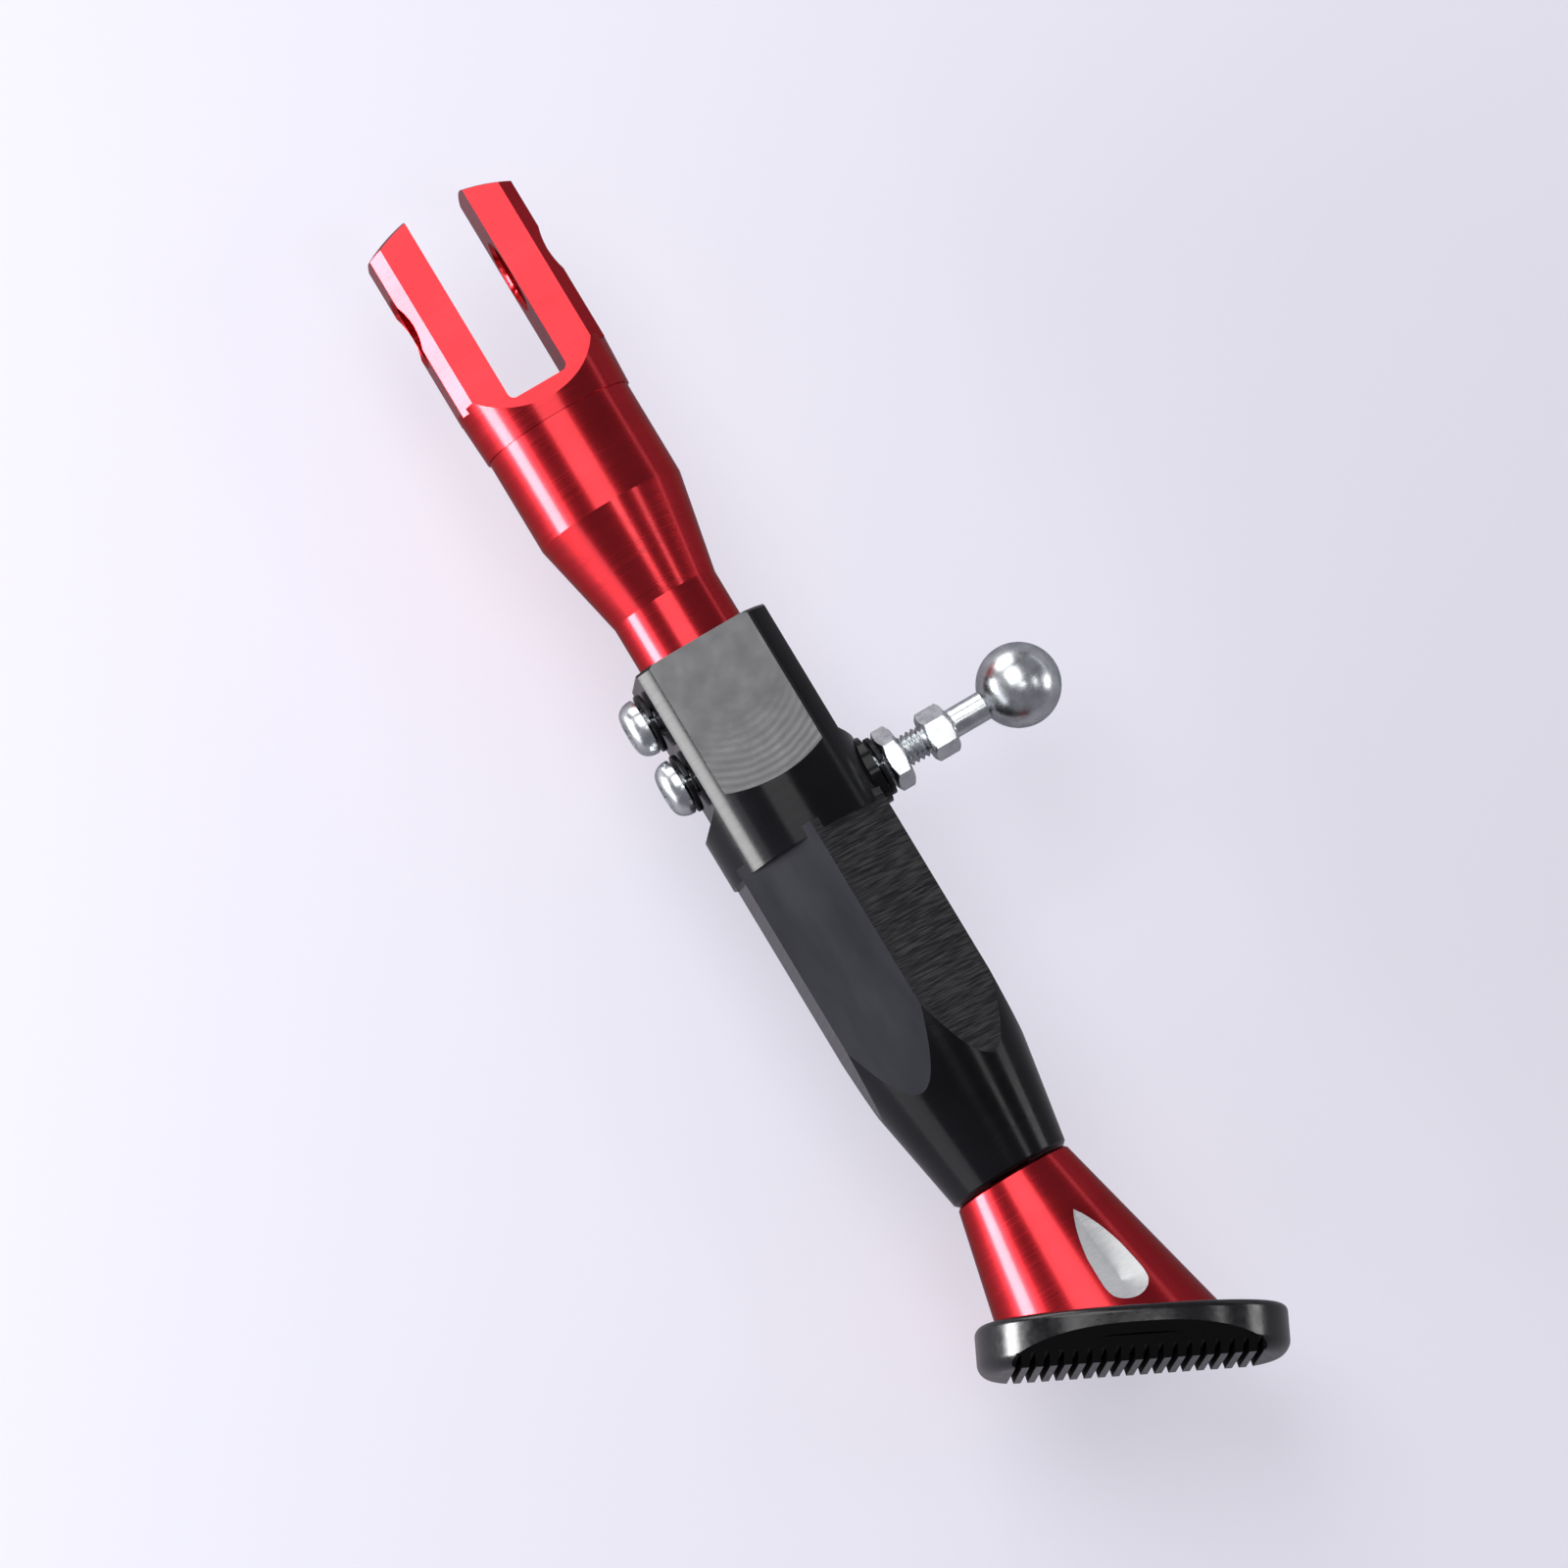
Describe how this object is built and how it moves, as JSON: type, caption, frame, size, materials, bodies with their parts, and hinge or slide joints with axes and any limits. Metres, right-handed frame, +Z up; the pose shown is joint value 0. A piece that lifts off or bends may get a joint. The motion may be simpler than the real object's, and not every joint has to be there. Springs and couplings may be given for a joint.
{
  "type": "motorcycle kickstand",
  "caption": "Telescoping side stand: forked red upper bar clamped in a black hexagonal leg, ball-ended kick stud, slanted conical foot on an oval rubber pad with a ribbed sole.",
  "frame": {"origin": "on the pivot axis, midway between the two ears of the fork", "axes": "+Z is up with the sole level; the leg hangs from the origin and leans towards +X at its foot; the ball stud points towards +X and up; -Y is the front"},
  "size_m": [0.1429, 0.043, 0.2115],
  "materials": {
    "anodised_red": "gloss red anodising over turned and milled aluminium; the tear-shaped facet is bright bare metal",
    "anodised_black": "satin black anodising over milled and turned aluminium",
    "zinc_steel": "bright zinc plated steel",
    "black_steel": "black oxide steel",
    "black_rubber": "moulded rubber, glossy wall and matt ribbed sole"
  },
  "bodies": {
    "fork": {"fork": "anodised_red"},
    "leg": {"leg_body": "anodised_black", "foot_bolt": "black_steel", "foot_washer": "black_steel"},
    "upper_screw": {"clamp_screw_upper": "zinc_steel", "clamp_washer_upper": "black_steel"},
    "lower_screw": {"clamp_screw_lower": "zinc_steel", "clamp_washer_lower": "black_steel"},
    "stud": {"ball_stud": "zinc_steel"},
    "nut": {"jam_nut": "zinc_steel", "stud_washer": "black_steel"},
    "foot": {"foot": "anodised_red", "pad": "black_rubber"}
  },
  "joints": [
    {"name": "length_slide", "type": "slide", "parent": "fork", "child": "leg", "axis": [0.4462, 0, -0.8949], "range_m": [0, 0.025]},
    {"name": "upper_screw_out", "type": "slide", "parent": "leg", "child": "upper_screw", "axis": [-0.8949, 0, -0.4462], "range_m": [0, 0.005]},
    {"name": "lower_screw_out", "type": "slide", "parent": "leg", "child": "lower_screw", "axis": [-0.8949, 0, -0.4462], "range_m": [0, 0.005]},
    {"name": "stud_out", "type": "slide", "parent": "leg", "child": "stud", "axis": [0.8949, 0, 0.4462], "range_m": [0, 0.003]},
    {"name": "nut_out", "type": "slide", "parent": "stud", "child": "nut", "axis": [0.8949, 0, 0.4462], "range_m": [0, 0.0045]},
    {"name": "foot_swivel", "type": "hinge", "parent": "leg", "child": "foot", "pos_m": [0.07902, 0, -0.15849], "axis": [0.4462, 0, -0.8949], "continuous": true}
  ]
}
